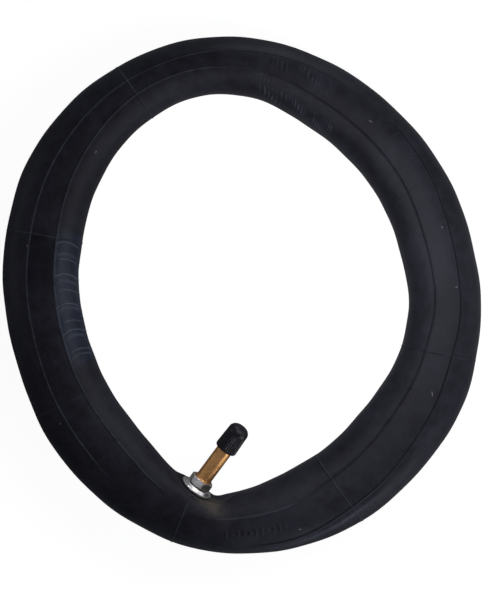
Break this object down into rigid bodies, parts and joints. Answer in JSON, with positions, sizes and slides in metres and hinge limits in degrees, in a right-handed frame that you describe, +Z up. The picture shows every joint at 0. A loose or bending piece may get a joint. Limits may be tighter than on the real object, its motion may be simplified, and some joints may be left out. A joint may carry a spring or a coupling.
{
  "type": "inner tube",
  "caption": "Soft black rubber inner tube for a small wheel, part inflated and lying flat, with a clamped brass valve stem, washer, hexagon nut and ribbed dust cap.",
  "frame": {"origin": "under the middle of the object's plan, on the plane that the tube rests on", "axes": "+Z up out of the plane that the tube lies in, +Y along the longer side of its plan, with the valve near the -Y end and leaning towards +X, +Y and +Z"},
  "size_m": [0.2322, 0.2508, 0.038],
  "materials": {
    "tube_rubber": "satin black butyl rubber with a faint chalky bloom",
    "pad_rubber": "matt black moulded rubber",
    "stem_brass": "turned brass, smooth, slightly dulled",
    "plated_steel": "bright zinc plate",
    "core_steel": "drawn wire, plain",
    "cap_plastic": "moulded black plastic, satin",
    "seal_rubber": "matt black seal rubber",
    "seal_red": "smooth red seal"
  },
  "bodies": {
    "tube": {"tube_body": "tube_rubber", "valve_pad": "pad_rubber", "valve_stem": "stem_brass", "core_plug": "stem_brass", "core_barrel": "stem_brass", "barrel_seal": "seal_red", "core_spring": "core_steel"},
    "clamp_washer": {"bridge_washer": "plated_steel"},
    "clamp_nut": {"hex_nut": "plated_steel"},
    "cap_lift": {"cap_seal": "seal_rubber"},
    "cap": {"dust_cap": "cap_plastic"},
    "valve_pin": {"core_pin": "core_steel", "spring_keeper": "core_steel", "seat_cup": "stem_brass", "seat_seal": "seal_rubber"}
  },
  "joints": [
    {"name": "washer_slide", "type": "slide", "parent": "tube", "child": "clamp_washer", "axis": [0.5718, 0.7727, 0.2756], "range_m": [0, 0.00198]},
    {"name": "nut_turn", "type": "hinge", "parent": "clamp_washer", "child": "clamp_nut", "pos_m": [-0.0228, -0.09403, 0.0226], "axis": [0.5718, 0.7727, 0.2756], "range_deg": [0, 900]},
    {"name": "cap_slide", "type": "slide", "parent": "tube", "child": "cap_lift", "axis": [0.5718, 0.7727, 0.2756], "range_m": [0, 0.00635]},
    {"name": "cap_turn", "type": "hinge", "parent": "cap_lift", "child": "cap", "pos_m": [-0.0228, -0.09403, 0.0226], "axis": [0.5718, 0.7727, 0.2756], "range_deg": [0, 2880]},
    {"name": "pin_press", "type": "slide", "parent": "tube", "child": "valve_pin", "axis": [-0.5718, -0.7727, -0.2756], "range_m": [0, 0.0016], "deforming": ["core_spring"]}
  ],
  "couplings": [
    {"joint": "nut_turn", "follows": "washer_slide", "rad_per_m": 7915.8},
    {"joint": "cap_turn", "follows": "cap_slide", "rad_per_m": 7915.8}
  ]
}
